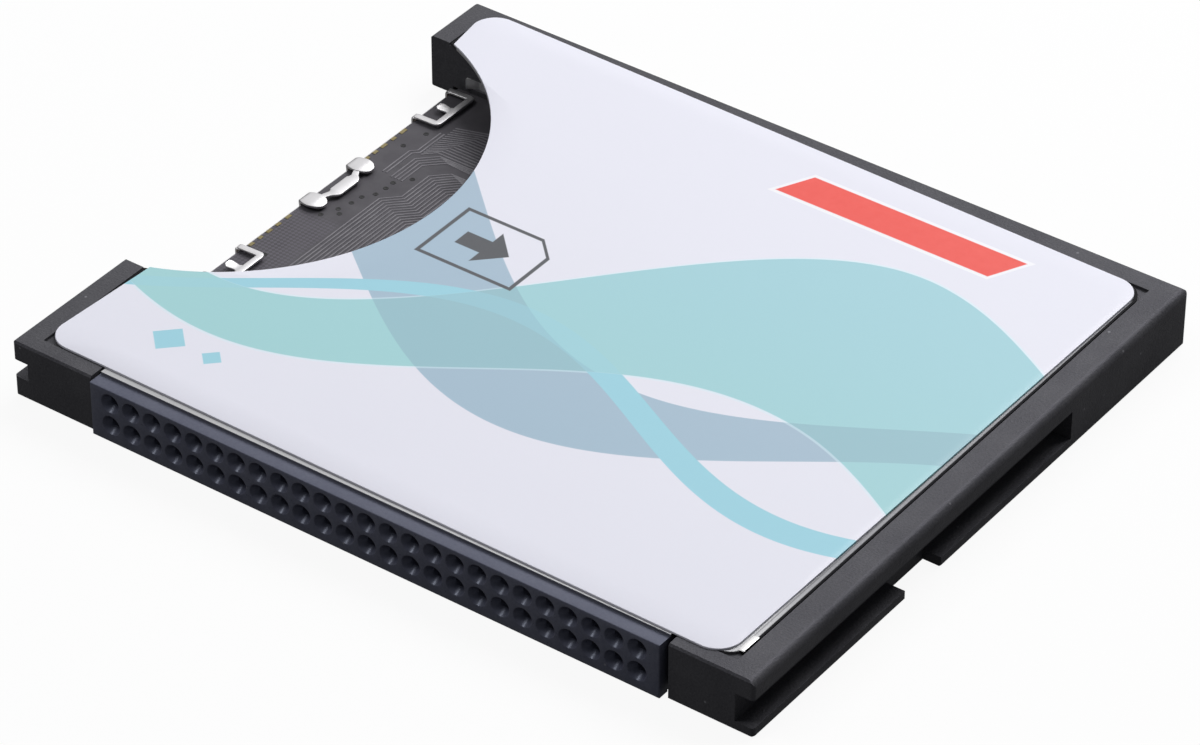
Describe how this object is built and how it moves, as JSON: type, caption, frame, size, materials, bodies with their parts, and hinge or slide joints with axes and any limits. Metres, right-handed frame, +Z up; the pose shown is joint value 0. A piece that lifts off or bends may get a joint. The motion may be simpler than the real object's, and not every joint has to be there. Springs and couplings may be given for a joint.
{
  "type": "memory_card_adapter",
  "caption": "Thin slot adapter: a black frame with steel covers takes a small memory card through its left side and presents a two-row pin socket on its front edge.",
  "frame": {"origin": "Centre of the underside of the frame's outline, on the plane that the adapter lies on.", "axes": "X runs along the socket from the open left side to the closed right side, Y from the socket edge to the back edge, Z up through the thickness towards the label."},
  "size_m": [0.0428, 0.0366, 0.0033],
  "materials": {
    "frame_plastic": "fine grained black moulding",
    "cover_steel": "rolled stainless sheet",
    "label_film": "printed film, pale with teal, steel blue and red fields",
    "amber_film": "thin amber insulating film",
    "board_laminate": "dark solder mask over fine copper tracks",
    "socket_plastic": "bluish black moulding",
    "contact_gold": "thin gold plating",
    "holder_plastic": "black moulding",
    "spring_steel": "bright spring steel",
    "chip_epoxy": "black epoxy",
    "tinned_metal": "tinned copper",
    "part_ceramic": "dark ceramic",
    "lid_metal": "plated lid",
    "capacitor_ceramic": "brown ceramic",
    "resistor_ceramic": "black glazed top"
  },
  "bodies": {
    "root": {"frame": "frame_plastic", "top_cover": "cover_steel", "top_label": "label_film", "bottom_cover": "cover_steel", "insulating_film": "amber_film", "circuit_board": "board_laminate", "connector_housing": "socket_plastic", "lower_contacts": "contact_gold", "upper_contacts": "contact_gold", "contact_holder": "holder_plastic", "card_contacts": "contact_gold", "write_protect_spring": "contact_gold", "write_protect_contact": "contact_gold", "card_detect_spring": "contact_gold", "card_detect_contact": "contact_gold", "retention_spring": "spring_steel", "controller_chip": "chip_epoxy", "chip_terminals": "tinned_metal", "voltage_regulator": "chip_epoxy", "regulator_legs": "tinned_metal", "crystal_base": "part_ceramic", "crystal_lid": "lid_metal", "capacitor_bodies": "capacitor_ceramic", "capacitor_ends": "tinned_metal", "resistor_bodies": "resistor_ceramic", "resistor_ends": "tinned_metal"}
  },
  "joints": []
}
